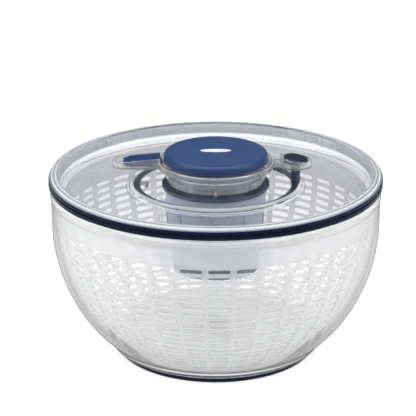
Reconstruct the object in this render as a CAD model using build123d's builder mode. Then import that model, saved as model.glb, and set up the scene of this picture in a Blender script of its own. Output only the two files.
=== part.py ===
"""Pump salad spinner: clear bowl, slotted basket, clear lid with a press knob, a knob lock and a brake.

Millimetres, +Z up. The origin is the centre of the foot ring on the floor.
The front is -Y, the knob lock is at -X and the brake button is at +X.
"""

import os
from math import cos, radians, sin, tan

from build123d import *

os.makedirs("parts", exist_ok=True)


def save(part, name):
    """Label one piece and write its STEP file."""
    part.label = name
    export_step(part, f"parts/{name}.step")


# ---- driving dimensions -------------------------------------------------

# bowl
RIM_TOP_Z = 139.4
RIM_BAND_Z = 130.5
BOWL_R = 132.0
BOWL_WALL = 2.6
BOWL_FLOOR_Z = 3.2
BOWL_FLOOR = 2.8
FOOT_R = 80.3
FOOT_IN_R = 73.0
FOOT_H = 3.2
PIN_R = 3.0
PIN_TOP_Z = 13.6
PIN_BOSS_R = 9.0
PIN_BOSS_TOP_Z = 9.0

# basket
BASKET_RIM_Z = 133.0
BASKET_RIM_R = 124.5
BAND_R = 122.5
BAND_LOW_Z = 112.0
BASKET_WALL = 2.0
BASKET_FLOOR_Z = 11.0
RIB_COUNT = 36
FIRST_OPENING_DEG = 1.3
OPENING_ROWS = ((84.0, 114.0, 16.0), (52.0, 80.0, 14.6), (20.0, 48.0, 11.4))
FLOOR_SLOTS = 18
TAB_COUNT = 6
BUSH_R = 8.0

# lid
CREST_Z = 149.2
LID_R = 132.5
PLATE_R = 125.3
PLATE_Z = 137.0
PLATE_T = 2.2
PLATEAU_R = 67.6
PLATEAU_Z = 141.0
PLATEAU_T = 2.5
GASKET_Z = 139.5
GASKET_TOP_Z = 146.0
GASKET_R = 133.0

# drive
COLLAR_TOP_Z = 157.0
COLLAR_R = 46.5
BORE_R = 30.4
DRUM_TOP_Z = 136.0
DRUM_FLOOR_Z = 78.0
DRUM_TOP_R = 41.0
DRUM_LOW_R = 36.0
WELL_R = 45.2
WELL_WALL = 1.6
WELL_FLOOR_Z = 66.2
DISC_Z = 130.6
DISC_T = 1.8
DISC_R = 119.8
HUB_R = 34.0
PLUNGER_R = 30.0
PLUNGER_LOW_Z = 94.2
PLUNGER_TOP_Z = 161.3
KNOB_TRAVEL = 40.0
KNOB_R = 41.5
KNOB_LOW_Z = 157.4
KNOB_TOP_Z = 165.3
HELIX_LEAD = 32.0
ROD_WIDE = 9.0
ROD_THICK = 4.0
ROD_LOW_Z = 72.0
ROD_TOP_Z = 158.0
NUT_Z = 113.0

# brake and lock
HOOP_R = 65.4
HOOP_IN_R = 60.5
HOOP_Z = 136.8
HOOP_T = 1.2
HINGE_X = -55.0
HINGE_Z = 136.2
BUTTON_X = 63.6
BUTTON_R = 9.9
BEZEL_R = 12.7
BEZEL_RIM_Z = 158.7
BUTTON_TILT_DEG = 8.0
ARM_Z = 152.4
LOCK_FAR_X = -82.0
LOCK_HALF = 7.8
TRAY_HALF = 10.0
TRAY_WALL = 1.7
TRAY_RIM_Z = 160.6
TRAY_SLOPE_DEG = 5.2

# ---- bowl ---------------------------------------------------------------

CURVE_Z = 108.0
SHOULDER_R = 131.2
KNEE = (115.5, 45.0)
HEEL = (92.0, 14.0)
SKIRT_R = 85.6
IN_KNEE = (113.2, 46.2)

with BuildPart() as bowl:
    with BuildSketch(Plane.XZ):
        with BuildLine():
            side = TangentArc((SHOULDER_R, CURVE_Z), KNEE, tangent=(0, -1))
            heel = TangentArc(KNEE, HEEL, tangent=side % 1)
            tuck = TangentArc(HEEL, (SKIRT_R, BOWL_FLOOR_Z + 2.8), tangent=heel % 1)
            Polyline(
                tuck @ 1,
                (SKIRT_R - 1.6, BOWL_FLOOR_Z + 0.8),
                (SKIRT_R - 3.0, BOWL_FLOOR_Z),
                (PIN_R, BOWL_FLOOR_Z),
                (PIN_R, PIN_BOSS_TOP_Z),
            )
            Polyline(
                (PIN_R, PIN_BOSS_TOP_Z),
                (PIN_BOSS_R - 1.0, PIN_BOSS_TOP_Z),
                (PIN_BOSS_R, BOWL_FLOOR_Z + BOWL_FLOOR),
                (78.5, BOWL_FLOOR_Z + BOWL_FLOOR),
            )
            in_side = TangentArc((SHOULDER_R - BOWL_WALL, CURVE_Z), IN_KNEE, tangent=(0, -1))
            TangentArc(IN_KNEE, (78.5, BOWL_FLOOR_Z + BOWL_FLOOR), tangent=in_side % 1)
            Polyline(
                in_side @ 0,
                (BOWL_R - 3.4, RIM_BAND_Z),
                (BOWL_R - 3.4, RIM_TOP_Z),
                (BOWL_R, RIM_TOP_Z),
                (BOWL_R, RIM_BAND_Z + 0.6),
                (SHOULDER_R + 0.2, RIM_BAND_Z),
                side @ 0,
            )
        make_face()
    revolve(axis=Axis.Z)
    groove_mid = (FOOT_R + FOOT_IN_R) / 2
    with BuildSketch(Plane.XY.offset(BOWL_FLOOR_Z)):
        Circle(groove_mid + 1.2)
        Circle(groove_mid - 1.2, mode=Mode.SUBTRACT)
    extrude(amount=1.4, mode=Mode.SUBTRACT)
    rim_edges = bowl.edges().filter_by(GeomType.CIRCLE).group_by(Axis.Z)[-1]
    fillet(rim_edges, 0.8)
save(bowl.part, "bowl")

with BuildPart() as foot_ring:
    with BuildSketch():
        Circle(FOOT_R)
        Circle(FOOT_IN_R, mode=Mode.SUBTRACT)
    extrude(amount=FOOT_H)
    with BuildSketch(Plane.XY.offset(FOOT_H)):
        Circle(groove_mid + 1.2)
        Circle(groove_mid - 1.2, mode=Mode.SUBTRACT)
    extrude(amount=1.4)
    tread = foot_ring.edges().filter_by(GeomType.CIRCLE).group_by(Axis.Z)[0]
    fillet(tread, 1.0)
save(foot_ring.part, "foot_ring")

with BuildPart() as pivot_pin:
    with Locations((0, 0, BOWL_FLOOR_Z)):
        Cylinder(
            PIN_R,
            PIN_TOP_Z - BOWL_FLOOR_Z,
            align=(Align.CENTER, Align.CENTER, Align.MIN),
        )
    fillet(pivot_pin.edges().group_by(Axis.Z)[-1], 1.4)
save(pivot_pin.part, "pivot_pin")

# ---- basket -------------------------------------------------------------

BUSH_LOW_Z = PIN_BOSS_TOP_Z + 0.3
BUSH_TOP_Z = 16.0

with BuildPart() as pivot_bush:
    with Locations((0, 0, BUSH_LOW_Z)):
        Cylinder(
            BUSH_R,
            BUSH_TOP_Z - BUSH_LOW_Z,
            align=(Align.CENTER, Align.CENTER, Align.MIN),
        )
        Cylinder(
            PIN_R + 0.1,
            PIN_TOP_Z + 0.4 - BUSH_LOW_Z,
            align=(Align.CENTER, Align.CENTER, Align.MIN),
            mode=Mode.SUBTRACT,
        )
    fillet(pivot_bush.edges().group_by(Axis.Z)[-1], 1.2)
save(pivot_bush.part, "pivot_bush")

SOCKET_R = BUSH_R + 0.08
FLOOR_TOP_Z = BASKET_FLOOR_Z + BASKET_WALL
WALL_KNEE = (107.6, 49.2)
IN_WALL_KNEE = (105.8, 50.1)

with BuildPart() as basket:
    with BuildSketch(Plane.XZ):
        with BuildLine():
            wall = TangentArc((BAND_R, CURVE_Z), WALL_KNEE, tangent=(0, -1))
            turn = TangentArc(WALL_KNEE, (77.5, BASKET_FLOOR_Z), tangent=wall % 1)
            Polyline(
                turn @ 1,
                (SOCKET_R + 2.4, BASKET_FLOOR_Z),
                (SOCKET_R + 2.0, BUSH_LOW_Z + 0.6),
                (SOCKET_R, BUSH_LOW_Z + 0.6),
                (SOCKET_R, BUSH_TOP_Z + 0.3),
                (0, BUSH_TOP_Z + 0.3),
                (0, BUSH_TOP_Z + 2.3),
                (SOCKET_R + 1.0, BUSH_TOP_Z + 2.3),
                (SOCKET_R + 4.0, FLOOR_TOP_Z),
                (76.9, FLOOR_TOP_Z),
            )
            in_wall = TangentArc((BAND_R - BASKET_WALL, CURVE_Z), IN_WALL_KNEE, tangent=(0, -1))
            TangentArc(IN_WALL_KNEE, (76.9, FLOOR_TOP_Z), tangent=in_wall % 1)
            Polyline(
                in_wall @ 0,
                (BAND_R - BASKET_WALL, BASKET_RIM_Z),
                (BASKET_RIM_R, BASKET_RIM_Z),
                (BASKET_RIM_R, BASKET_RIM_Z - 2.0),
                (BAND_R, BASKET_RIM_Z - 2.0),
                wall @ 0,
            )
        make_face()
    revolve(axis=Axis.Z)
    # openings between the ribs, in rows parted by solid bands
    for low, high, wide in OPENING_ROWS:
        with Locations((0, 0, low)):
            with PolarLocations(100, RIB_COUNT, start_angle=FIRST_OPENING_DEG):
                Box(
                    60,
                    wide,
                    high - low,
                    align=(Align.CENTER, Align.CENTER, Align.MIN),
                    mode=Mode.SUBTRACT,
                )
    # radial slots in the floor
    with Locations((0, 0, BASKET_FLOOR_Z)):
        with PolarLocations(46, FLOOR_SLOTS):
            Box(40, 6.0, 6 * BASKET_WALL, mode=Mode.SUBTRACT)
    # notches in the rim for the rotor's tabs
    with Locations((0, 0, DISC_Z)):
        with PolarLocations(BAND_R - 1.0, TAB_COUNT):
            Box(3.4, 9.4, 6, align=(Align.CENTER, Align.CENTER, Align.MIN), mode=Mode.SUBTRACT)


def basket_zone(low, high, core_r=0.0, keep_core=False):
    """The one-piece basket between two heights: all of it, or only inside or outside a core."""
    with BuildPart() as zone:
        add(basket.part)
        with Locations((0, 0, low)):
            Cylinder(
                BASKET_RIM_R + 10,
                high - low,
                align=(Align.CENTER, Align.CENTER, Align.MIN),
                mode=Mode.INTERSECT,
            )
        if core_r:
            Cylinder(core_r, 400, mode=Mode.INTERSECT if keep_core else Mode.SUBTRACT)
    return zone.part


# the moulding is kept as four zones, so that each has a simple shape to collide with
ZONE_Z = (0.0, 50.0, 82.0, BASKET_RIM_Z + 5)
FLOOR_ZONE_R = 76.0
save(basket_zone(ZONE_Z[2], ZONE_Z[3]), "basket_rim")
save(basket_zone(ZONE_Z[1], ZONE_Z[2]), "basket_wall")
save(basket_zone(ZONE_Z[0], ZONE_Z[1], FLOOR_ZONE_R), "basket_heel")
save(basket_zone(ZONE_Z[0], ZONE_Z[1], FLOOR_ZONE_R, keep_core=True), "basket_floor")

# ---- lid ----------------------------------------------------------------

KEY_COUNT = 4
KEY_WIDE = 3.0
SCREW_CIRCLE_R = 35.8
SCREW_COUNT = 4
PLATEAU_LOW_Z = PLATEAU_Z - PLATEAU_T


def cut_keyways(z):
    """Remove the keyways that the plunger's keys run in, centred on height z."""
    with Locations((0, 0, z)):
        with PolarLocations(BORE_R, KEY_COUNT, start_angle=45):
            Box(4.4, KEY_WIDE + 1.0, 12, mode=Mode.SUBTRACT)


def cut_screw_holes(z, depth):
    """Remove the four screw holes from height z up."""
    with Locations((0, 0, z)):
        with PolarLocations(SCREW_CIRCLE_R, SCREW_COUNT):
            Cylinder(1.6, depth, align=(Align.CENTER, Align.CENTER, Align.MIN), mode=Mode.SUBTRACT)


with BuildPart() as lid_shell:
    with BuildSketch(Plane.XZ):
        with BuildLine():
            Polyline(
                (BORE_R, PLATEAU_LOW_Z),
                (BORE_R, PLATEAU_Z),
                (PLATEAU_R - 1.6, PLATEAU_Z),
                (PLATEAU_R, PLATEAU_Z - 1.2),
                (PLATEAU_R + 0.6, PLATE_Z + 1.3),
                (PLATEAU_R + 2.6, PLATE_Z + 1.0),
                (PLATEAU_R + 3.4, PLATE_Z),
                (PLATE_R - 0.6, PLATE_Z),
                (PLATE_R, CREST_Z - 0.8),
            )
            ThreePointArc((PLATE_R, CREST_Z - 0.8), (PLATE_R + 1.1, CREST_Z), (PLATE_R + 2.6, CREST_Z - 0.3))
            ThreePointArc((PLATE_R + 2.6, CREST_Z - 0.3), (LID_R - 0.9, CREST_Z - 1.5), (LID_R, GASKET_TOP_Z))
            Polyline(
                (LID_R, GASKET_TOP_Z),
                (PLATE_R + 0.9, GASKET_TOP_Z),
                (PLATE_R + 0.9, GASKET_Z),
                (PLATE_R - 1.8, PLATE_Z - PLATE_T),
                (PLATEAU_R - 0.8, PLATE_Z - PLATE_T),
                (PLATEAU_R - 1.4, PLATEAU_LOW_Z),
                (BORE_R, PLATEAU_LOW_Z),
            )
        make_face()
    revolve(axis=Axis.Z)
    # two lugs for the hoop hinge, under the plateau at the left
    with Locations((HINGE_X, 0, PLATEAU_LOW_Z)):
        with Locations((0, -5.6, 0), (0, 5.6, 0)):
            Box(4.4, 2.0, 4.1, align=(Align.CENTER, Align.CENTER, Align.MAX))
    with Locations((HINGE_X, 0, HINGE_Z)):
        Cylinder(0.8, 20, rotation=(90, 0, 0), mode=Mode.SUBTRACT)
    # guide hole for the brake stem
    with Locations((BUTTON_X, 0, PLATEAU_Z)):
        Cylinder(4.1, 12, mode=Mode.SUBTRACT)
    cut_keyways(PLATEAU_Z)
    cut_screw_holes(PLATEAU_LOW_Z - 1, 6)
save(lid_shell.part, "lid_shell")

with BuildPart() as lid_gasket:
    with BuildSketch(Plane.XZ):
        Polygon(
            (PLATE_R + 0.9, GASKET_Z),
            (GASKET_R - 0.3, GASKET_Z),
            (GASKET_R, GASKET_Z + 0.4),
            (GASKET_R, GASKET_Z + 3.1),
            (GASKET_R - 0.9, GASKET_Z + 3.5),
            (GASKET_R - 0.9, GASKET_Z + 4.5),
            (GASKET_R - 0.1, GASKET_Z + 4.9),
            (GASKET_R - 0.1, GASKET_TOP_Z - 0.4),
            (GASKET_R - 0.5, GASKET_TOP_Z),
            (PLATE_R + 0.9, GASKET_TOP_Z),
            align=None,
        )
    revolve(axis=Axis.Z)
save(lid_gasket.part, "lid_gasket")

# collar: stepped cup round the knob, with the lock tray and the brake bezel on its arms
BEZEL_FLOOR = 1.0


def tray_rim_z(x):
    """Height of the lock tray's sloping rim at x."""
    return TRAY_RIM_Z + (x + 44.0) * tan(radians(TRAY_SLOPE_DEG))


def bezel_rim_z(x):
    """Height of the brake bezel's sloping rim at x."""
    return BEZEL_RIM_Z - (x - BUTTON_X) * tan(radians(BUTTON_TILT_DEG))


with BuildPart() as collar:
    with BuildSketch(Plane.XZ):
        Polygon(
            (BORE_R, PLATEAU_Z),
            (38.5, PLATEAU_Z),
            (38.5, 143.6),
            (40.4, 145.0),
            (40.4, 148.4),
            (42.8, 150.2),
            (42.8, ARM_Z),
            (COLLAR_R, ARM_Z + 0.8),
            (COLLAR_R, COLLAR_TOP_Z - 0.5),
            (COLLAR_R - 0.5, COLLAR_TOP_Z),
            (43.9, COLLAR_TOP_Z),
            (43.9, COLLAR_TOP_Z - 1.6),
            (41.0, COLLAR_TOP_Z - 2.2),
            (41.0, 151.0),
            (38.4, 149.2),
            (38.4, 146.2),
            (BORE_R, 146.2),
            align=None,
        )
    revolve(axis=Axis.Z)
    # lock tray, with a rim that slopes down and outwards
    tray_x = LOCK_FAR_X + TRAY_HALF
    with BuildSketch(Plane.XY.offset(ARM_Z)):
        with Locations((tray_x, 0)):
            Circle(TRAY_HALF)
            Rectangle(-43.4 - tray_x, 2 * TRAY_HALF, align=(Align.MIN, Align.CENTER))
    extrude(amount=9)
    with BuildSketch(Plane.XZ):
        Polygon(
            (-84, tray_rim_z(-84)),
            (-43, tray_rim_z(-43)),
            (-43, 170),
            (-84, 170),
            align=None,
        )
    extrude(amount=12, both=True, mode=Mode.SUBTRACT)
    with BuildSketch(Plane.XY.offset(ARM_Z + 1.4)):
        with Locations((tray_x, 0)):
            Circle(TRAY_HALF - TRAY_WALL)
            Rectangle(-48.8 - tray_x, 2 * (TRAY_HALF - TRAY_WALL), align=(Align.MIN, Align.CENTER))
    extrude(amount=9, mode=Mode.SUBTRACT)
    # way in for the slider over the collar's rim, and slot for its nose
    with Locations((-46.0, 0, COLLAR_TOP_Z + 0.05)):
        Box(6.0, 2 * LOCK_HALF + 0.7, 8, align=(Align.CENTER, Align.CENTER, Align.MIN), mode=Mode.SUBTRACT)
    with Locations((0, 0, COLLAR_TOP_Z - 1.6)):
        Cylinder(43.9, 12, align=(Align.CENTER, Align.CENTER, Align.MIN), mode=Mode.SUBTRACT)
    with Locations((-44.6, 0, ARM_Z + 1.6)):
        Box(10.4, 9.6, 8.0, align=(Align.CENTER, Align.CENTER, Align.MIN), mode=Mode.SUBTRACT)
    # brake bezel on its arm
    with Locations((COLLAR_R - 1.6, 0, ARM_Z + 0.6)):
        Box(10.0, 12.0, 3.0, align=(Align.MIN, Align.CENTER, Align.MIN))
    with Locations((BUTTON_X, 0, ARM_Z)):
        Cylinder(BEZEL_R, 9, align=(Align.CENTER, Align.CENTER, Align.MIN))
    with BuildSketch(Plane.XZ):
        Polygon(
            (49, bezel_rim_z(49)),
            (78, bezel_rim_z(78)),
            (78, 170),
            (49, 170),
            align=None,
        )
    extrude(amount=14, both=True, mode=Mode.SUBTRACT)
    with Locations((BUTTON_X, 0, ARM_Z + BEZEL_FLOOR)):
        Cylinder(BUTTON_R + 0.4, 12, align=(Align.CENTER, Align.CENTER, Align.MIN), mode=Mode.SUBTRACT)
    with Locations((BUTTON_X, 0, ARM_Z)):
        Cylinder(4.1, 12, mode=Mode.SUBTRACT)
    cut_keyways(PLATEAU_Z + 4)
    cut_screw_holes(PLATEAU_Z, 3.6)
save(collar.part, "collar")

# ---- drum under the lid -------------------------------------------------

COVER_R = 42.8
LEDGE_Z = 89.5

with BuildPart() as drum_cover:
    with BuildSketch(Plane.XY.offset(DRUM_TOP_Z)):
        Circle(COVER_R)
        Circle(BORE_R, mode=Mode.SUBTRACT)
    extrude(amount=PLATEAU_LOW_Z - DRUM_TOP_Z)
    cut_keyways(DRUM_TOP_Z)
    cut_screw_holes(DRUM_TOP_Z - 1, 6)
save(drum_cover.part, "drum_cover")

with BuildPart() as drum_housing:
    with BuildSketch(Plane.XZ):
        Polygon(
            (12.0, DRUM_FLOOR_Z),
            (DRUM_LOW_R - 1.0, DRUM_FLOOR_Z),
            (DRUM_LOW_R, DRUM_FLOOR_Z + 1.0),
            (DRUM_TOP_R, DRUM_TOP_Z),
            (DRUM_TOP_R - 2.0, DRUM_TOP_Z),
            (35.2, LEDGE_Z + 2.0),
            (31.5, LEDGE_Z + 2.0),
            (31.5, LEDGE_Z),
            (34.6, LEDGE_Z - 2.0),
            (34.0, DRUM_FLOOR_Z + 2.5),
            (12.0, DRUM_FLOOR_Z + 2.5),
            align=None,
        )
    revolve(axis=Axis.Z)
    with Locations((0, 0, DRUM_TOP_Z - 8)):
        with PolarLocations(SCREW_CIRCLE_R, SCREW_COUNT):
            Cylinder(2.9, 8, align=(Align.CENTER, Align.CENTER, Align.MIN))
            Cylinder(2.3, 2.6, align=(Align.CENTER, Align.CENTER, Align.MAX), mode=Mode.SUBTRACT)
        with PolarLocations(37.4, 8, start_angle=22.5):
            Box(2.4, 1.4, 8, align=(Align.CENTER, Align.CENTER, Align.MIN))
    cut_screw_holes(DRUM_TOP_Z - 9, 12)
save(drum_housing.part, "drum_housing")

with BuildPart() as clutch_cover:
    with BuildSketch(Plane.XY.offset(LEDGE_Z + 2.0)):
        Circle(35.0)
        Circle(12.4, mode=Mode.SUBTRACT)
    extrude(amount=1.5)
save(clutch_cover.part, "clutch_cover")

with BuildPart() as bearing_bush:
    with BuildSketch(Plane.XZ):
        Polygon(
            (9.08, DRUM_FLOOR_Z - 0.8),
            (12.0, DRUM_FLOOR_Z - 0.8),
            (12.0, DRUM_FLOOR_Z + 2.5),
            (14.5, DRUM_FLOOR_Z + 2.5),
            (14.5, DRUM_FLOOR_Z + 4.0),
            (9.08, DRUM_FLOOR_Z + 4.0),
            align=None,
        )
    revolve(axis=Axis.Z)
save(bearing_bush.part, "bearing_bush")

with BuildPart() as housing_screws:
    with PolarLocations(SCREW_CIRCLE_R, SCREW_COUNT):
        with Locations((0, 0, DRUM_TOP_Z - 8)):
            Cylinder(1.5, 16.2, align=(Align.CENTER, Align.CENTER, Align.MIN))
            Cylinder(2.0, 2.0, align=(Align.CENTER, Align.CENTER, Align.MAX))
            with Locations((0, 0, -2.0)):
                Box(2.8, 0.7, 1.8, mode=Mode.SUBTRACT)
                Box(0.7, 2.8, 1.8, mode=Mode.SUBTRACT)
save(housing_screws.part, "housing_screws")

# ---- rotor --------------------------------------------------------------

WELL_FLOOR_T = 2.0
HUB_LOW_Z = WELL_FLOOR_Z + WELL_FLOOR_T
SPIGOT_R = 9.0
ROD_BORE_R = 6.2
RATCHET_Z = 83.6

with BuildPart() as rotor_disc:
    with BuildSketch(Plane.XZ):
        Polygon(
            (0, WELL_FLOOR_Z),
            (WELL_R - 2.0, WELL_FLOOR_Z),
            (WELL_R, WELL_FLOOR_Z + 2.0),
            (WELL_R, DISC_Z - 1.5),
            (WELL_R + 1.5, DISC_Z),
            (DISC_R - 1.8, DISC_Z),
            (DISC_R - 1.8, DISC_Z - 3.0),
            (DISC_R, DISC_Z - 3.0),
            (DISC_R, DISC_Z + DISC_T),
            (WELL_R - WELL_WALL + 1.0, DISC_Z + DISC_T),
            (WELL_R - WELL_WALL, DISC_Z + DISC_T - 1.0),
            (WELL_R - WELL_WALL, HUB_LOW_Z + 1.0),
            (WELL_R - WELL_WALL - 1.0, HUB_LOW_Z),
            (0, HUB_LOW_Z),
            align=None,
        )
    revolve(axis=Axis.Z)
    with Locations((0, 0, DISC_Z + 0.4)):
        with PolarLocations(DISC_R + 1.0, TAB_COUNT):
            Box(3.6, 8.0, 2.4, align=(Align.CENTER, Align.CENTER, Align.MIN))
    with PolarLocations(20.0, 3):
        with Locations((0, 0, WELL_FLOOR_Z)):
            Cylinder(1.3, 10, mode=Mode.SUBTRACT)
save(rotor_disc.part, "rotor_disc")

with BuildPart() as rotor_hub:
    with BuildSketch(Plane.XZ):
        Polygon(
            (ROD_BORE_R, HUB_LOW_Z),
            (HUB_R, HUB_LOW_Z),
            (HUB_R, HUB_LOW_Z + 6.5),
            (HUB_R - 0.8, HUB_LOW_Z + 7.3),
            (HUB_R - 2.4, HUB_LOW_Z + 7.3),
            (HUB_R - 2.4, HUB_LOW_Z + 2.4),
            (SPIGOT_R + 1.5, HUB_LOW_Z + 2.4),
            (SPIGOT_R, HUB_LOW_Z + 3.9),
            (SPIGOT_R, RATCHET_Z),
            (SPIGOT_R - 1.0, RATCHET_Z),
            (SPIGOT_R - 1.0, RATCHET_Z + 1.6),
            (ROD_BORE_R, RATCHET_Z + 1.6),
            align=None,
        )
    revolve(axis=Axis.Z)
    with Locations((0, 0, HUB_LOW_Z + 2.4)):
        with PolarLocations((SPIGOT_R + HUB_R) / 2 - 1.0, 6, start_angle=30):
            Box(23.4, 1.6, 3.6, align=(Align.CENTER, Align.CENTER, Align.MIN))
    with PolarLocations(20.0, 3):
        with Locations((0, 0, HUB_LOW_Z)):
            Cylinder(1.3, 10, mode=Mode.SUBTRACT)
save(rotor_hub.part, "rotor_hub")

with BuildPart() as rotor_screws:
    with PolarLocations(20.0, 3):
        with Locations((0, 0, WELL_FLOOR_Z)):
            Cylinder(1.3, 4.2, align=(Align.CENTER, Align.CENTER, Align.MIN))
            Cylinder(2.5, 1.6, align=(Align.CENTER, Align.CENTER, Align.MAX))
            with Locations((0, 0, -1.6)):
                Box(3.2, 0.6, 1.4, mode=Mode.SUBTRACT)
                Box(0.6, 3.2, 1.4, mode=Mode.SUBTRACT)
save(rotor_screws.part, "rotor_screws")

TOOTH_COUNT = 20
TOOTH_TIP_R = 19.4
TOOTH_ROOT_R = 20.8

with BuildPart() as ratchet_ring:
    with BuildSketch(Plane.XY.offset(RATCHET_Z)):
        Circle(24.0)
        Circle(SPIGOT_R - 1.0, mode=Mode.SUBTRACT)
    extrude(amount=1.6)
    with BuildSketch(Plane.XY.offset(RATCHET_Z + 1.6)):
        Circle(24.0)
        with BuildLine():
            step = radians(360 / TOOTH_COUNT)
            saw = []
            for tooth in range(TOOTH_COUNT):
                turn = tooth * step
                saw.append((TOOTH_TIP_R * cos(turn), TOOTH_TIP_R * sin(turn)))
                saw.append((TOOTH_ROOT_R * cos(turn), TOOTH_ROOT_R * sin(turn)))
            Polyline(*saw, close=True)
        make_face(mode=Mode.SUBTRACT)
    extrude(amount=5.0)
save(ratchet_ring.part, "ratchet_ring")

with BuildPart() as thrust_washer:
    with BuildSketch(Plane.XY.offset(RATCHET_Z + 1.6)):
        Circle(15.0)
        Circle(ROD_BORE_R + 0.6, mode=Mode.SUBTRACT)
    extrude(amount=0.8)
save(thrust_washer.part, "thrust_washer")

# ---- drive sleeve, driven by the twisted rod ----------------------------

SLEEVE_Z = 86.2
SLEEVE_R = 11.6


def twist_at(z):
    """Angle of the twisted rod's section at height z, in degrees."""
    return -360.0 * (z - ROD_LOW_Z) / HELIX_LEAD


with BuildPart() as drive_sleeve:
    with BuildSketch(Plane.XZ):
        Polygon(
            (9.0, SLEEVE_Z),
            (15.2, SLEEVE_Z),
            (15.2, SLEEVE_Z + 0.8),
            (SLEEVE_R, SLEEVE_Z + 0.8),
            (SLEEVE_R, NUT_Z + 1.6),
            (0, NUT_Z + 1.6),
            (0, NUT_Z),
            (9.0, NUT_Z),
            align=None,
        )
    revolve(axis=Axis.Z)
    with Locations(Location((0, 0, NUT_Z), (0, 0, twist_at(NUT_Z + 0.8)))):
        Box(ROD_WIDE + 1.4, ROD_THICK + 1.8, 6, mode=Mode.SUBTRACT)
save(drive_sleeve.part, "drive_sleeve")

with BuildPart() as pawls:
    with BuildSketch(Plane.XY.offset(SLEEVE_Z + 0.8)):
        with PolarLocations(0, 2):
            Polygon(
                (11.9, -1.2),
                (13.6, -1.6),
                (15.0, -0.4),
                (18.7, 3.2),
                (17.4, 4.4),
                (12.4, 1.4),
                align=None,
            )
    extrude(amount=2.4)
save(pawls.part, "pawls")

# ---- knob ---------------------------------------------------------------

with BuildPart() as plunger:
    with BuildSketch(Plane.XZ):
        Polygon(
            (PLUNGER_R - 2.0, PLUNGER_LOW_Z),
            (PLUNGER_R + 2.3, PLUNGER_LOW_Z),
            (PLUNGER_R + 2.3, PLUNGER_LOW_Z + 1.6),
            (PLUNGER_R, PLUNGER_LOW_Z + 1.6),
            (PLUNGER_R, ROD_TOP_Z),
            (36.0, ROD_TOP_Z),
            (36.0, PLUNGER_TOP_Z),
            (1.6, PLUNGER_TOP_Z),
            (1.6, ROD_TOP_Z),
            (PLUNGER_R - 2.0, ROD_TOP_Z),
            align=None,
        )
    revolve(axis=Axis.Z)
    with Locations((0, 0, PLUNGER_LOW_Z + 3)):
        with PolarLocations(PLUNGER_R + 0.4, KEY_COUNT, start_angle=45):
            Box(2.4, KEY_WIDE, 54, align=(Align.CENTER, Align.CENTER, Align.MIN))
save(plunger.part, "plunger")

with BuildPart() as helix_rod:
    steps = int((ROD_TOP_Z - 2.5 - ROD_LOW_Z) / 2.5)
    rise = (ROD_TOP_Z - 2.5 - ROD_LOW_Z) / steps
    for k in range(steps + 1):
        level = ROD_LOW_Z + k * rise
        with BuildSketch(Plane.XY.offset(level)):
            Rectangle(ROD_WIDE, ROD_THICK, rotation=twist_at(level))
    loft()
    with Locations((0, 0, ROD_TOP_Z - 2.5)):
        Cylinder(9.0, 2.5, align=(Align.CENTER, Align.CENTER, Align.MIN))
    with Locations((0, 0, ROD_TOP_Z)):
        Cylinder(1.5, 14, mode=Mode.SUBTRACT)
save(helix_rod.part, "helix_rod")

with BuildPart() as rod_screw:
    with Locations((0, 0, PLUNGER_TOP_Z)):
        Cylinder(1.5, 10.0, align=(Align.CENTER, Align.CENTER, Align.MAX))
        Cylinder(3.2, 1.0, align=(Align.CENTER, Align.CENTER, Align.MIN))
    with Locations((0, 0, PLUNGER_TOP_Z + 1.0)):
        Box(4.0, 0.8, 1.0, mode=Mode.SUBTRACT)
        Box(0.8, 4.0, 1.0, mode=Mode.SUBTRACT)
save(rod_screw.part, "rod_screw")

INLAY_LONG = 12.2
INLAY_SHORT = 3.9
INLAY_T = 1.0

with BuildPart() as knob_cap:
    with BuildSketch(Plane.XZ):
        with BuildLine():
            Polyline((0, PLUNGER_TOP_Z + 1.2), (0, KNOB_TOP_Z))
            ThreePointArc((0, KNOB_TOP_Z), (19.0, KNOB_TOP_Z - 0.2), (38.0, KNOB_TOP_Z - 0.9))
            ThreePointArc((38.0, KNOB_TOP_Z - 0.9), (40.6, KNOB_TOP_Z - 1.9), (KNOB_R, KNOB_TOP_Z - 4.2))
            Polyline(
                (KNOB_R, KNOB_TOP_Z - 4.2),
                (KNOB_R, KNOB_LOW_Z + 0.6),
                (KNOB_R - 0.6, KNOB_LOW_Z),
                (KNOB_R - 2.3, KNOB_LOW_Z),
                (KNOB_R - 2.3, PLUNGER_TOP_Z),
                (33.0, PLUNGER_TOP_Z),
                (32.0, PLUNGER_TOP_Z + 1.2),
                (0, PLUNGER_TOP_Z + 1.2),
            )
        make_face()
    revolve(axis=Axis.Z)
    # snap lugs that hold the cap on the plunger
    with Locations((0, 0, PLUNGER_TOP_Z)):
        with PolarLocations(37.0, 6):
            Box(1.4, 7.0, 4.8, align=(Align.CENTER, Align.CENTER, Align.MAX))
    with Locations((0, 0, PLUNGER_TOP_Z - 4.8)):
        with PolarLocations(36.2, 6):
            Box(1.8, 7.0, 1.2, align=(Align.CENTER, Align.CENTER, Align.MIN))
    with BuildSketch(Plane.XY.offset(KNOB_TOP_Z - 0.2)):
        Ellipse(INLAY_LONG, INLAY_SHORT)
    extrude(amount=-INLAY_T, mode=Mode.SUBTRACT)
    with BuildSketch(Plane.XY.offset(KNOB_TOP_Z - 0.2)):
        Ellipse(INLAY_LONG, INLAY_SHORT)
    extrude(amount=1, mode=Mode.SUBTRACT)
save(knob_cap.part, "knob_cap")

with BuildPart() as knob_inlay:
    with BuildSketch(Plane.XY.offset(KNOB_TOP_Z - 0.2)):
        Ellipse(INLAY_LONG, INLAY_SHORT)
    extrude(amount=-INLAY_T)
save(knob_inlay.part, "knob_inlay")


def coil(radius, wire, low, high, turns):
    """A round wire coil standing between two heights."""
    span = high - low - 2 * wire
    path = Helix(span / turns, span, radius, center=(0, 0, low + wire))
    with BuildPart() as spring:
        with BuildLine():
            add(path)
        with BuildSketch(Plane(path @ 0, z_dir=path % 0)):
            Circle(wire)
        sweep(is_frenet=True)
    return spring.part


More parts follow.
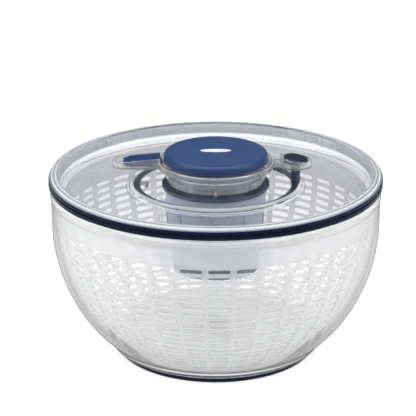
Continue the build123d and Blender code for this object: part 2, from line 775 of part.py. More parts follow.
save(coil(18.0, 0.9, LEDGE_Z + 3.6, ROD_TOP_Z - 0.1, 8), "return_spring")

# ---- knob lock ----------------------------------------------------------

SLIDER_Z = COLLAR_TOP_Z + 0.3
SLIDER_X = -73.6
SLIDER_LOW_Z = ARM_Z + 1.9

with BuildPart() as lock_slider:
    with BuildSketch(Plane.XY.offset(SLIDER_LOW_Z)):
        with Locations((SLIDER_X + LOCK_HALF, 0)):
            Circle(LOCK_HALF)
            Rectangle(21.6, 2 * LOCK_HALF, align=(Align.MIN, Align.CENTER))
    extrude(amount=9)
    with BuildSketch(Plane.XZ):
        Polygon(
            (-80, tray_rim_z(-80) + 0.2),
            (-40, tray_rim_z(-40) + 0.2),
            (-40, 170),
            (-80, 170),
            align=None,
        )
    extrude(amount=12, both=True, mode=Mode.SUBTRACT)
    fillet(lock_slider.faces().sort_by(Axis.Z)[-1].edges(), 0.7)
    # step that clears the collar's rim, and a face that follows the knob
    with Locations((-49.2, 0, SLIDER_LOW_Z - 1)):
        step_size = SLIDER_Z - SLIDER_LOW_Z + 1
        Box(9, 20, step_size, align=(Align.MIN, Align.CENTER, Align.MIN), mode=Mode.SUBTRACT)
    Cylinder(44.5, 400, mode=Mode.SUBTRACT)
    # hollow for a fingertip
    with Locations((-64.5, 0, tray_rim_z(-64.5) + 0.2 - 0.8 + 30)):
        Sphere(30, mode=Mode.SUBTRACT)
    # nose that dips into the collar
    with BuildSketch(Plane.XZ):
        Polygon(
            (-47.4, SLIDER_Z),
            (-47.4, SLIDER_Z + 2.4),
            (-45.4, SLIDER_Z + 2.2),
            (-42.4, SLIDER_Z - 0.8),
            (-42.4, SLIDER_Z - 2.9),
            (-44.0, SLIDER_Z - 2.9),
            align=None,
        )
    extrude(amount=4.2, both=True)
save(lock_slider.part, "lock_slider")

# ---- brake --------------------------------------------------------------

CAP_Z = ARM_Z + BEZEL_FLOOR + 3.0
CAP_T = 1.6
STEM_R = 3.7

with BuildPart() as brake_button:
    with Locations((BUTTON_X, 0, CAP_Z)):
        Cylinder(BUTTON_R, 9, align=(Align.CENTER, Align.CENTER, Align.MIN))
    with BuildSketch(Plane.XZ):
        Polygon(
            (49, bezel_rim_z(49) + 0.8),
            (78, bezel_rim_z(78) + 0.8),
            (78, 180),
            (49, 180),
            align=None,
        )
    extrude(amount=14, both=True, mode=Mode.SUBTRACT)
    fillet(brake_button.faces().sort_by(Axis.Z)[-1].edges(), 1.2)
    with Locations((BUTTON_X, 0, CAP_Z)):
        Cylinder(6.7, CAP_T, align=(Align.CENTER, Align.CENTER, Align.MIN), mode=Mode.SUBTRACT)
save(brake_button.part, "brake_button")

with BuildPart() as brake_stem:
    with Locations((BUTTON_X, 0, HOOP_Z + HOOP_T + 0.15)):
        Cylinder(
            STEM_R,
            CAP_Z + CAP_T - HOOP_Z - HOOP_T - 0.15,
            align=(Align.CENTER, Align.CENTER, Align.MIN),
        )
save(brake_stem.part, "brake_stem")

spring_low = ARM_Z + BEZEL_FLOOR
brake_coil = coil(5.6, 0.5, spring_low + 0.05, CAP_Z + CAP_T - 0.1, 3)
save(brake_coil.moved(Location((BUTTON_X, 0, 0))), "brake_spring")

with BuildPart() as brake_hoop:
    with BuildSketch(Plane.XY.offset(HOOP_Z)):
        Circle(HOOP_R)
        Circle(HOOP_IN_R, mode=Mode.SUBTRACT)
        with Locations((HINGE_X, 0)):
            Rectangle(7.0, 8.0, align=(Align.MAX, Align.CENTER))
    extrude(amount=HOOP_T)
    with Locations((HINGE_X, 0, HINGE_Z)):
        Cylinder(1.8, 8.0, rotation=(90, 0, 0))
        Cylinder(0.95, 20.0, rotation=(90, 0, 0), mode=Mode.SUBTRACT)
save(brake_hoop.part, "brake_hoop")

with BuildPart() as hoop_pin:
    with Locations((HINGE_X, 0, HINGE_Z)):
        Cylinder(0.8, 14.0, rotation=(90, 0, 0))
save(hoop_pin.part, "hoop_pin")

with BuildPart() as brake_pads:
    with BuildSketch(Plane.XY.offset(HOOP_Z)):
        with PolarLocations((HOOP_R + HOOP_IN_R) / 2, 2, start_angle=-35, angular_range=70, endpoint=True):
            RectangleRounded(4.4, 16.0, 1.5)
    extrude(amount=-1.2)
save(brake_pads.part, "brake_pads")
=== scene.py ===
"""Salad spinner: clear bowl, slotted basket, clear lid with a press knob, a knob lock and a brake."""

import bmesh
import bpy
import numpy as np
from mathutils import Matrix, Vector


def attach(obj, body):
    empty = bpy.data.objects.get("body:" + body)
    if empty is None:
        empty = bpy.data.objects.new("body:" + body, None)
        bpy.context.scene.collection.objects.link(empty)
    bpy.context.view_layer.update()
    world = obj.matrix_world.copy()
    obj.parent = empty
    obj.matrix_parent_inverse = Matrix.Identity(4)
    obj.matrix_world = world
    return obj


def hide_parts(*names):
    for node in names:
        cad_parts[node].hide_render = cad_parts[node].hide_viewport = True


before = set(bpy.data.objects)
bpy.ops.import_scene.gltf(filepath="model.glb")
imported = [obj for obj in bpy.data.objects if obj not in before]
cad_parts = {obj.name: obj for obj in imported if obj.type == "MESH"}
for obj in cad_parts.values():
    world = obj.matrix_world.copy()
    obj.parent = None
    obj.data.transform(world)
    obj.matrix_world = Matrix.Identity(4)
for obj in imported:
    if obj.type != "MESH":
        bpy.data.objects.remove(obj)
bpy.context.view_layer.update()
MM = 0.001
SAME_POINT = 2e-6
NO_LENGTH = 1e-7


# ---- mesh making --------------------------------------------------------


def piece(name, points, faces, body, material, replaces=()):
    """A smooth-shaded mesh from whole arrays: points in metres, faces as rows of four corner numbers.

    Doubles are merged and normals made to point outwards. It rides on the body and stands in for the nodes.
    """
    mesh = bpy.data.meshes.new(name)
    mesh.vertices.add(len(points))
    mesh.vertices.foreach_set("co", np.asarray(points, np.float32).ravel())
    faces = np.asarray(faces, np.int32)
    mesh.loops.add(faces.size)
    mesh.loops.foreach_set("vertex_index", faces.ravel())
    mesh.polygons.add(len(faces))
    mesh.polygons.foreach_set("loop_start", np.arange(0, faces.size, faces.shape[1], dtype=np.int32))
    mesh.update(calc_edges=True)
    work = bmesh.new()
    work.from_mesh(mesh)
    bmesh.ops.remove_doubles(work, verts=work.verts, dist=SAME_POINT)
    bmesh.ops.dissolve_degenerate(work, edges=work.edges, dist=NO_LENGTH)
    bmesh.ops.recalc_face_normals(work, faces=work.faces)
    work.to_mesh(mesh)
    work.free()
    mesh.polygons.foreach_set("use_smooth", np.ones(len(mesh.polygons), bool))
    mesh.validate()
    thing = bpy.data.objects.new(name, mesh)
    bpy.context.scene.collection.objects.link(thing)
    mesh.materials.append(material)
    if replaces:
        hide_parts(*replaces)
    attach(thing, body)
    return thing


def grid_faces(rows, columns, close_rows=False, close_columns=False):
    """Corner numbers of the quads of a rows by columns grid, closed round in either direction if asked."""
    i = np.arange(rows if close_rows else rows - 1)
    j = np.arange(columns if close_columns else columns - 1)
    i, j = np.meshgrid(i, j, indexing="ij")
    k, m = (i + 1) % rows, (j + 1) % columns
    return np.stack([i * columns + j, i * columns + m, k * columns + m, k * columns + j], -1).reshape(-1, 4)


def with_radius(points, radius):
    """Outline points in mm with one corner radius each."""
    points = np.atleast_2d(np.asarray(points, float))
    return np.hstack([points, np.full((len(points), 1), radius)])


def softened(outline, steps=4):
    """A closed outline, rows of radius, height and corner radius, with each corner rounded.

    Start and end lie up to the corner radius along the corner's two sides, and a quadratic curve joins them:
    (1-t)^2 start + 2t(1-t) corner + t^2 end.
    """
    p, radius = outline[:, :2], outline[:, 2]
    back, ahead = np.roll(p, 1, 0) - p, np.roll(p, -1, 0) - p
    lb, la = np.linalg.norm(back, axis=1), np.linalg.norm(ahead, axis=1)
    cut = np.minimum(radius, 0.48 * np.minimum(lb, la))[:, None]
    start, end = p + back / lb[:, None] * cut, p + ahead / la[:, None] * cut
    t = np.linspace(0, 1, steps)[None, :, None]
    curve = (1 - t) ** 2 * start[:, None] + 2 * t * (1 - t) * p[:, None] + t**2 * end[:, None]
    return curve.reshape(-1, 2)


def turned(outline, around):
    """A closed outline of radius and height in mm swept round the Z axis.

    The points are (r cos a, r sin a, z) on a grid of outline points by angles.
    """
    a = np.linspace(0, 2 * np.pi, around, endpoint=False)[None, :]
    r, z = outline[:, 0:1], outline[:, 1:2]
    points = np.stack([r * np.cos(a), r * np.sin(a), z + 0 * a], -1).reshape(-1, 3) * MM
    return points, grid_faces(len(outline), around, True, True)


def arc(start, end, slope, count=24):
    """Points of the circular arc from start to end that leaves start along slope.

    It turns through twice the angle between slope and chord.
    """
    start, end, slope = (np.asarray(v, float) for v in (start, end, slope))
    chord = end - start
    slope = slope / np.linalg.norm(slope)
    side = np.array([-slope[1], slope[0]])
    radius = (chord @ chord) / (2 * (chord @ side))
    centre = start + side * radius
    half = np.arctan2(chord @ side, chord @ slope)
    turn = np.linspace(0, 2 * half, count)[:, None]
    out = start - centre
    return centre + np.cos(turn) * out + np.sin(turn) * np.array([-out[1], out[0]])


def slope_at_end(points):
    """Direction in which a run of points ends."""
    return points[-1] - points[-2]


# ---- materials ----------------------------------------------------------


CLOUD_SCALE = 70.0
WAVE_DEPTH = 0.0006


class Finish:
    """A material's node tree, with short ways to add and join nodes."""

    def __init__(self, name):
        self.material = bpy.data.materials.new(name)
        self.material.use_nodes = True
        self.tree = self.material.node_tree
        self.tree.nodes.clear()
        self.out = self.node("ShaderNodeOutputMaterial")
        self.place = self.node("ShaderNodeTexCoord").outputs["Object"]

    def node(self, kind, inputs=None, **settings):
        """A node of that kind: settings are its own properties, inputs are values or other nodes' outputs."""
        made = self.tree.nodes.new(kind)
        for key, value in settings.items():
            setattr(made, key, value)
        for key, value in (inputs or {}).items():
            if isinstance(value, bpy.types.NodeSocket):
                self.tree.links.new(value, made.inputs[key])
            else:
                made.inputs[key].default_value = value
        return made

    def maths(self, how, a, b=0.0, clamp=False):
        """One arithmetic step on two numbers."""
        return self.node("ShaderNodeMath", {0: a, 1: b}, operation=how, use_clamp=clamp).outputs[0]

    def spread(self, value, low, high, to_low, to_high):
        """value from low to high mapped onto to_low to to_high, held at the ends."""
        inputs = {"Value": value, "From Min": low, "From Max": high, "To Min": to_low, "To Max": to_high}
        return self.node("ShaderNodeMapRange", inputs, clamp=True).outputs["Result"]

    def colours(self, amount, first, second):
        """A colour between first and second."""
        mix = self.node("ShaderNodeMix", data_type="RGBA")
        for key, value in ((0, amount), (6, first), (7, second)):
            if isinstance(value, bpy.types.NodeSocket):
                self.tree.links.new(value, mix.inputs[key])
            else:
                mix.inputs[key].default_value = value
        return mix.outputs[2]

    def noise(self, scale, detail=3.0, rough=0.55, stretch=None):
        """Cloudy noise in object space, scale in cycles per metre."""
        place = self.place
        if stretch:
            place = self.node("ShaderNodeMapping", {"Vector": place, "Scale": stretch}).outputs[0]
        inputs = {"Vector": place, "Scale": scale, "Detail": detail, "Roughness": rough}
        return self.node("ShaderNodeTexNoise", inputs).outputs["Fac"]

    def bump(self, height, strength, distance):
        """A normal that follows a height pattern, distance in metres."""
        inputs = {"Height": height, "Strength": strength, "Distance": distance}
        return self.node("ShaderNodeBump", inputs).outputs["Normal"]

    def mixed(self, amount, first, second):
        """A shader between first and second."""
        return self.node("ShaderNodeMixShader", {0: amount, 1: first, 2: second}).outputs[0]

    def radius(self):
        """Distance from the Z axis in metres: the root of x squared plus y squared."""
        split = self.node("ShaderNodeSeparateXYZ", {0: self.place})
        x, y = split.outputs[0], split.outputs[1]
        squares = self.maths("ADD", self.maths("MULTIPLY", x, x), self.maths("MULTIPLY", y, y))
        return self.maths("SQRT", squares)

    def lamp_passes(self, body):
        """Light from the lamps goes straight through, other rays meet the body."""
        lamp = self.node("ShaderNodeLightPath").outputs["Is Shadow Ray"]
        through = self.node("ShaderNodeBsdfTransparent", {"Color": rgba(0.985, 0.987, 0.99)})
        return self.mixed(lamp, body, through.outputs[0])

    def done(self, shader):
        """Join the shader to the output and hand back the material."""
        self.tree.links.new(shader, self.out.inputs["Surface"])
        return self.material


def rgba(r, g, b):
    return (r, g, b, 1.0)


def with_painted_lines(f, body, painted_lines):
    """Painted highlight and painted shade: rings round the axis where moulded corners would catch the light
    or turn dark.

    Each painted line has a radius and half width in metres, a strength and a tone.
    """
    # white is a painted highlight; blue and grey are painted shade lines
    tones = {
        "white": f.node("ShaderNodeBsdfPrincipled", {
            "Base Color": rgba(0.95, 0.955, 0.97), "Roughness": 0.15}),
        "blue": f.node("ShaderNodeBsdfPrincipled", {
            "Base Color": rgba(0.30, 0.34, 0.50), "Roughness": 0.2}),
        "grey": f.node("ShaderNodeBsdfTransparent", {"Color": rgba(0.40, 0.42, 0.47)})}
    for place, half_width, strength, tone in painted_lines:
        gap = f.maths("ABSOLUTE", f.maths("SUBTRACT", f.radius(), place))
        line = f.spread(gap, half_width * 0.4, half_width, strength, 0.0)
        body = f.mixed(line, body, tones[tone].outputs[0])
    return body


def clear_plastic(name, tint, edge, haze=0.0, painted_lines=()):
    """Clear moulded plastic: it bends light and lets lamps through.

    It carries painted shade, a grey that grows where it is seen edge on, and may hold a little haze.
    """
    f = Finish(name)
    normal = f.bump(f.noise(32.0, 2.0, 0.5), 0.08, WAVE_DEPTH)
    wiped = f.spread(f.noise(CLOUD_SCALE, 4.0), 0.35, 0.75, 0.006, 0.018)
    body = f.node("ShaderNodeBsdfPrincipled", {
        "Base Color": tint, "Roughness": wiped, "IOR": 1.5, "Transmission Weight": 1.0,
        "Normal": normal}).outputs[0]
    if haze:
        cloud = f.node("ShaderNodeBsdfPrincipled", {
            "Base Color": rgba(0.92, 0.93, 0.96), "Roughness": 0.2, "Normal": normal})
        body = f.mixed(f.spread(f.noise(25.0), 0.3, 0.7, haze * 0.85, haze * 1.15), body, cloud.outputs[0])
    # painted shade: a grey mixed in where the surface is seen edge on
    facing = f.node("ShaderNodeLayerWeight", {"Blend": 0.5}).outputs["Facing"]
    grey = f.node("ShaderNodeBsdfTransparent", {"Color": rgba(0.34, 0.35, 0.38)})
    body = f.mixed(f.maths("MULTIPLY", f.maths("POWER", facing, 3.8), edge), body, grey.outputs[0])
    return f.done(f.lamp_passes(with_painted_lines(f, body, painted_lines)))


def thin_clear(name, tint, edge, gloss, painted_lines=()):
    """Clear plastic sheet: what lies behind shows straight through.

    Its skin mirrors more the flatter it is seen, and its edges carry painted shade, a grey that grows edge
    on.
    """
    f = Finish(name)
    normal = f.bump(f.noise(28.0, 2.0, 0.5), 0.05, 0.0005)
    wiped = f.spread(f.noise(CLOUD_SCALE, 4.0), 0.35, 0.75, 0.03, 0.07)
    shine = f.node("ShaderNodeBsdfPrincipled", {
        "Base Color": rgba(0.9, 0.91, 0.93), "Metallic": 1.0, "Roughness": wiped, "Normal": normal})
    through = f.node("ShaderNodeBsdfTransparent", {"Color": tint})
    facing = f.node("ShaderNodeLayerWeight", {"Blend": 0.5}).outputs["Facing"]
    mirror = f.maths("ADD", f.maths("MULTIPLY", f.maths("POWER", facing, 5.0), gloss), 0.035)
    body = f.mixed(mirror, through.outputs[0], shine.outputs[0])
    # painted shade: a grey mixed in where the sheet is seen edge on
    grey = f.node("ShaderNodeBsdfTransparent", {"Color": rgba(0.42, 0.44, 0.49)})
    body = f.mixed(f.maths("MULTIPLY", f.maths("POWER", facing, 6.0), edge), body, grey.outputs[0])
    return f.done(f.lamp_passes(with_painted_lines(f, body, painted_lines)))


def frosted(name):
    """Milky moulded plastic, finely textured: part of the light passes, part is spread on and back."""
    f = Finish(name)
    grain = f.noise(1500.0, 2.0, 0.6)
    clouds = f.noise(45.0, 3.0)
    normal = f.bump(grain, 0.25, 0.00012)
    tone = f.colours(f.spread(clouds, 0.3, 0.7, 0.0, 1.0), rgba(0.97, 0.97, 0.97), rgba(0.99, 0.99, 0.99))
    back = f.node("ShaderNodeBsdfPrincipled", {
        "Base Color": tone, "Roughness": 0.45, "IOR": 1.49, "Normal": normal})
    ahead = f.node("ShaderNodeBsdfTranslucent", {"Color": tone, "Normal": normal})
    milk = f.mixed(0.45, back.outputs[0], ahead.outputs[0])
    facing = f.node("ShaderNodeLayerWeight", {"Blend": 0.5, "Normal": normal}).outputs["Facing"]
    solid = f.spread(f.maths("POWER", facing, 1.5), 0.0, 1.0, 0.42, 0.9)
    through = f.node("ShaderNodeBsdfTransparent", {"Color": rgba(0.95, 0.95, 0.95)})
    return f.done(f.mixed(solid, through.outputs[0], milk))


def moulded(name, colour, darker, rough, grain_depth=0.00004, grain_scale=1400.0, coat=0.0, specular=0.5):
    """Opaque moulded plastic: a fine grain, faint clouds of tone and a roughness that varies."""
    f = Finish(name)
    grain = f.noise(grain_scale, 3.0, 0.6)
    clouds = f.noise(30.0, 3.0)
    tone = f.colours(f.spread(clouds, 0.3, 0.7, 0.0, 1.0), darker, colour)
    worn = f.spread(f.noise(CLOUD_SCALE, 5.0), 0.3, 0.75, rough * 0.85, min(1.0, rough * 1.2))
    shader = f.node("ShaderNodeBsdfPrincipled", {
        "Base Color": tone, "Roughness": worn, "Coat Weight": coat, "Coat Roughness": 0.12,
        "Specular IOR Level": specular, "Normal": f.bump(grain, 0.35, grain_depth)})
    return f.done(shader.outputs[0])


def tinted_plastic(name, colour, solid_low, solid_high):
    """See-through plastic with a blue-grey tint, more solid at its edges."""
    f = Finish(name)
    normal = f.bump(f.noise(60.0, 2.0), 0.2, 0.0008)
    facing = f.node("ShaderNodeLayerWeight", {"Blend": 0.5, "Normal": normal}).outputs["Facing"]
    solid = f.spread(f.maths("POWER", facing, 1.6), 0.0, 1.0, solid_low, solid_high)
    tone = f.colours(f.noise(40.0), colour, tuple(c * 0.82 for c in colour[:3]) + (1.0,))
    body = f.node("ShaderNodeBsdfPrincipled", {"Base Color": tone, "Roughness": 0.16, "Normal": normal})
    through = f.node("ShaderNodeBsdfTransparent", {"Color": rgba(0.80, 0.86, 0.93)})
    return f.done(f.mixed(solid, through.outputs[0], body.outputs[0]))


SEAL_CORE_RADIUS = 0.1302
HOOP_INNER_RADIUS = 0.0603


def seal_rubber(name):
    """Soft seal: navy outside, with the pale core that shows through the clear lid on its inner side."""
    f = Finish(name)
    skin = f.spread(f.radius(), SEAL_CORE_RADIUS - 0.0002, SEAL_CORE_RADIUS + 0.0002, 0.0, 1.0)
    navy = f.colours(f.noise(30.0), rgba(0.002, 0.004, 0.02), rgba(0.004, 0.007, 0.03))
    tone = f.colours(skin, rgba(0.90, 0.91, 0.94), navy)
    worn = f.spread(f.noise(CLOUD_SCALE, 5.0), 0.3, 0.75, 0.26, 0.4)
    shader = f.node("ShaderNodeBsdfPrincipled", {
        "Base Color": tone, "Roughness": worn, "Specular IOR Level": 0.1,
        "Normal": f.bump(f.noise(700.0, 3.0), 0.3, 0.00002)})
    return f.done(shader.outputs[0])


def hoop_plastic(name):
    """Slate moulded hoop whose hinge lug, inside its ring, is moulded pale and half clear."""
    f = Finish(name)
    tone = f.colours(f.noise(30.0), rgba(0.030, 0.048, 0.085), rgba(0.040, 0.062, 0.105))
    ring = f.node("ShaderNodeBsdfPrincipled", {
        "Base Color": tone, "Roughness": f.spread(f.noise(CLOUD_SCALE, 5.0), 0.3, 0.75, 0.34, 0.46),
        "Normal": f.bump(f.noise(1400.0), 0.35, 0.00004)})
    pale = f.node("ShaderNodeBsdfPrincipled", {"Base Color": rgba(0.72, 0.75, 0.79), "Roughness": 0.3})
    clear = f.node("ShaderNodeBsdfTransparent", {"Color": rgba(0.93, 0.94, 0.95)})
    lug = f.mixed(0.4, clear.outputs[0], pale.outputs[0])
    inside = f.spread(f.radius(), HOOP_INNER_RADIUS - 0.0001, HOOP_INNER_RADIUS + 0.0001, 1.0, 0.0)
    return f.done(f.mixed(inside, ring.outputs[0], lug))


def drawn_steel(name):
    """Drawn steel wire and turned screws: metal with fine lines along its length."""
    f = Finish(name)
    lines = f.noise(600.0, 3.0, 0.6, stretch=(1.0, 1.0, 8.0))
    rough = f.spread(lines, 0.3, 0.7, 0.18, 0.34)
    shader = f.node("ShaderNodeBsdfPrincipled", {
        "Base Color": rgba(0.62, 0.63, 0.65), "Metallic": 1.0, "Roughness": rough,
        "Normal": f.bump(lines, 0.2, 0.00005)})
    return f.done(shader.outputs[0])


BOWL_CLEAR = clear_plastic("bowl_clear", rgba(0.985, 0.988, 0.99), 1.0)
# painted highlight and painted shade lines at the corners of the lid's raised middle, the lid's rim and the
# collar
LID_PAINTED_LINES = (
    (0.0662, 0.0006, 0.45, "grey"), (0.0676, 0.0011, 0.5, "white"), (0.0690, 0.0004, 0.5, "grey"),
    (0.0712, 0.0005, 0.6, "grey"), (0.0705, 0.0005, 0.35, "white"))
LID_CLEAR = thin_clear("lid_clear", rgba(0.99, 0.99, 0.993), 0.5, 0.45, LID_PAINTED_LINES)
RIM_PAINTED_LINES = (
    (0.1262, 0.0005, 0.5, "blue"), (0.1275, 0.0006, 0.55, "white"), (0.1289, 0.0005, 0.35, "grey"),
    (0.1304, 0.0008, 0.6, "white"), (0.1320, 0.0005, 0.4, "blue"))
RIM_CLEAR = clear_plastic("rim_clear", rgba(0.985, 0.987, 0.995), 0.3, 0.2, RIM_PAINTED_LINES)
ROTOR_CLEAR = thin_clear("rotor_clear", rgba(0.99, 0.99, 0.993), 0.5, 0.25)
COLLAR_PAINTED_LINES = (
    (0.0456, 0.00035, 0.5, "white"), (0.0445, 0.0004, 0.35, "grey"), (0.0415, 0.0004, 0.45, "white"),
    (0.0394, 0.0003, 0.3, "white"), (0.0388, 0.0002, 0.25, "grey"))
COLLAR_CLEAR = clear_plastic("collar_clear", rgba(0.965, 0.97, 0.985), 0.5, 0.08, COLLAR_PAINTED_LINES)
BASKET_MILK = frosted("basket_milk")
KNOB_BLUE = moulded(
    "knob_soft_blue", rgba(0.016, 0.058, 0.175), rgba(0.013, 0.050, 0.155), 0.34,
    grain_depth=0.00003, grain_scale=2200.0, specular=0.4)
SLIDER_BLUE = moulded(
    "slider_blue", rgba(0.012, 0.042, 0.140), rgba(0.010, 0.036, 0.120), 0.3,
    grain_depth=0.00002, grain_scale=1800.0, specular=0.12)
BUTTON_NAVY = moulded(
    "button_navy", rgba(0.005, 0.010, 0.036), rgba(0.004, 0.008, 0.028), 0.1,
    grain_depth=0.00001, grain_scale=900.0, specular=0.4)
HUB_BLUE = moulded("hub_blue", rgba(0.012, 0.03, 0.08), rgba(0.009, 0.022, 0.06), 0.4)
LID_SEAL = seal_rubber("lid_seal_navy")
SEAL_NAVY = moulded(
    "seal_navy", rgba(0.002, 0.004, 0.020), rgba(0.0015, 0.003, 0.014), 0.35,
    grain_depth=0.00002, grain_scale=700.0, specular=0.12)
SLATE = moulded("slate", rgba(0.040, 0.062, 0.105), rgba(0.030, 0.048, 0.085), 0.4)
HOOP_SLATE = hoop_plastic("hoop_slate")
WHITE = moulded(
    "inlay_white", rgba(0.88, 0.89, 0.9), rgba(0.84, 0.85, 0.86), 0.22,
    grain_depth=0.00001, grain_scale=900.0, coat=0.2)
ACETAL = moulded("bearing_white", rgba(0.78, 0.78, 0.76), rgba(0.72, 0.72, 0.70), 0.45)
DRUM_TINT = tinted_plastic("drum_tint", rgba(0.66, 0.74, 0.87), 0.55, 0.9)
RIB_BLUE = tinted_plastic("rib_blue", rgba(0.30, 0.40, 0.60), 0.9, 0.95)
PLUNGER_TINT = tinted_plastic("plunger_tint", rgba(0.30, 0.36, 0.46), 0.35, 0.85)
STEEL = drawn_steel("drawn_steel")

for node_names, finish in (
    (("pivot_pin", "housing_screws", "hoop_pin", "return_spring", "brake_spring", "rotor_screws", "helix_rod",
      "rod_screw"), STEEL),
    (("pivot_bush", "bearing_bush", "thrust_washer", "drive_sleeve"), ACETAL),
    (("drum_cover", "clutch_cover", "ratchet_ring", "pawls", "brake_stem"), SLATE),
    (("brake_hoop",), HOOP_SLATE),
    (("foot_ring", "brake_pads"), SEAL_NAVY),
    (("lid_gasket",), LID_SEAL),
    (("bowl",), BOWL_CLEAR),
    (("lid_shell",), LID_CLEAR),
    (("collar",), COLLAR_CLEAR),
    (("rotor_disc",), ROTOR_CLEAR),
    (("basket_rim", "basket_wall", "basket_heel", "basket_floor"), BASKET_MILK),
    (("knob_cap",), KNOB_BLUE),
    (("lock_slider",), SLIDER_BLUE),
    (("brake_button",), BUTTON_NAVY),
    (("rotor_hub",), HUB_BLUE),
    (("knob_inlay",), WHITE),
    (("drum_housing",), DRUM_TINT),
    (("plunger",), PLUNGER_TINT),
):
    for node_name in node_names:
        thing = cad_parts[node_name]
        thing.data.materials.clear()
        thing.data.materials.append(finish)

# ---- bowl and foot ------------------------------------------------------

# outlines from here on are radius and height in mm; both bowl walls start where its straight mouth ends
MOUTH_END = 108.0
DOWN = (0, -1)
side = arc((131.2, MOUTH_END), (115.5, 45.0), DOWN, 40)
heel = arc((115.5, 45.0), (92.0, 14.0), slope_at_end(side), 24)
tuck = arc((92.0, 14.0), (85.6, 6.0), slope_at_end(heel), 10)
in_side = arc((128.6, MOUTH_END), (113.2, 46.2), DOWN, 40)
in_heel = arc((113.2, 46.2), (78.5, 6.0), slope_at_end(in_side), 30)

# down the outside, across the underside, round the pin's boss and up the inside to the lip
bowl_outline = np.vstack([
    with_radius(side, 0.0),
    with_radius(heel[1:], 0.0),
    with_radius(tuck[1:-1], 0.0),
    with_radius([(85.6, 6.0), (84.2, 5.1), (82.6, 4.72)], 0.9),
    with_radius([(77.62, 4.72), (77.62, 3.2), (3.0, 3.2), (3.0, 9.0), (8.0, 9.0)], 0.5),
    with_radius([(9.0, 6.0)], 1.2),
    with_radius(in_heel[::-1], 0.0),
    with_radius(in_side[::-1][1:], 0.0),
    with_radius([(128.6, 130.5)], 0.3),
    with_radius([(128.6, 139.4), (132.0, 139.4)], 1.0),
    with_radius([(132.0, 131.3), (131.4, 130.5)], 0.4),
])
points, faces = turned(softened(bowl_outline), 256)
piece("bowl_shell", points, faces, "bowl", BOWL_CLEAR, ("bowl",))

foot_outline = with_radius([
    (73.0, 0.0), (80.4, 0.0), (81.2, 1.6), (81.2, 4.7), (77.6, 4.7), (77.6, 3.15), (73.0, 3.15)], 0.7)
points, faces = turned(softened(foot_outline, steps=5), 192)
piece("foot_seal", points, faces, "bowl", SEAL_NAVY, ("foot_ring",))

# ---- basket -------------------------------------------------------------

BASKET_R = 122.5
RIM_STEP = 131.0
wall = arc((BASKET_R, MOUTH_END), (107.6, 49.2), DOWN, 60)
turn = arc((107.6, 49.2), (77.5, 11.0), slope_at_end(wall), 50)
PATH = np.vstack([[(BASKET_R, RIM_STEP)], wall, turn[1:], [(30.0, 11.0)]])
LENGTH = np.concatenate([[0], np.cumsum(np.linalg.norm(np.diff(PATH, axis=0), axis=1))])


def along_wall(s):
    """Radius and height of the basket's outer face at s mm down from the rim band's top."""
    return np.interp(s, LENGTH, PATH[:, 0]), np.interp(s, LENGTH, PATH[:, 1])


def ring_of_points(half_u, half_v, corner, count):
    """Points round a rounded rectangle, as many on each side as count says, from its lower left corner."""
    t = np.concatenate([np.linspace(0, 1, n, endpoint=False) for n in count])
    k = np.repeat(np.arange(4), count)
    corners = np.array([(-1, -1), (1, -1), (1, 1), (-1, 1), (-1, -1)], float)
    square = corners[k] + (corners[k + 1] - corners[k]) * t[:, None]
    flat = square * (half_u, half_v)
    inner = np.clip(flat, (-half_u + corner, -half_v + corner), (half_u - corner, half_v - corner))
    out = flat - inner
    size = np.linalg.norm(out, axis=1, keepdims=True)
    return np.where(size > 1e-9, inner + out / np.maximum(size, 1e-9) * corner, flat)


COLUMNS = 36
ROWS = 18
PITCH = 6.3
PLAIN_TOP = 17.2
PLAIN_LOW = 1.5
SLOT_SHARE = 0.79
SLOT_TALL = 3.9
SLOT_CORNER = 0.085
FIRST_SLOT = np.radians(1.3)
SIDE_COUNT = (6, 3, 6, 3)
WALL_THICKNESS = 2.0


def slotted_wall(columns, rows, first, pitch, slot_share, slot_tall):
    """Cells of the basket wall, columns round by rows down, from first mm down it.

    Each cell is a band of quads in two steps, from the cell's edge in to its slot.
    """
    steps = np.array(SIDE_COUNT)
    edge = ring_of_points(0.5, 0.5, 0.0, steps)
    slot = ring_of_points(0.5 * slot_share, 0.5 * slot_tall / pitch, SLOT_CORNER, steps)
    between = slot + (edge - slot) * 0.35
    rings = np.stack([edge, between, slot])
    count = len(edge)
    column, row = np.meshgrid(np.arange(columns), np.arange(rows), indexing="ij")
    u = (column[..., None, None] + rings[None, None, :, :, 0]) * (2 * np.pi / columns)
    s = first + (row[..., None, None] + 0.5 + rings[None, None, :, :, 1]) * pitch
    r, z = along_wall(s)
    points = np.stack([r * np.cos(u), r * np.sin(u), z], -1)
    base = (np.arange(columns * rows) * 3 * count)[:, None, None]
    quads = grid_faces(3, count, False, True)
    return points.reshape(-1, 3) * MM, (base + quads[None]).reshape(-1, 4)


def band(s_values, around):
    """A plain band of the wall between the given lengths down it."""
    r, z = along_wall(np.asarray(s_values, float))
    a = np.linspace(0, 2 * np.pi, around, endpoint=False)
    points = np.stack([r[:, None] * np.cos(a), r[:, None] * np.sin(a), z[:, None] + 0 * a], -1)
    return points.reshape(-1, 3) * MM, grid_faces(len(r), around, False, True)


def joined(*parts):
    """Several (points, faces) as one."""
    points, faces, n = [], [], 0
    for p, f in parts:
        points.append(p)
        faces.append(f + n)
        n += len(p)
    return np.vstack(points), np.vstack(faces)


def turned_by(part, angle):
    """The part turned round Z."""
    p, f = part
    c, s = np.cos(angle), np.sin(angle)
    return np.stack([p[:, 0] * c - p[:, 1] * s, p[:, 0] * s + p[:, 1] * c, p[:, 2]], -1), f


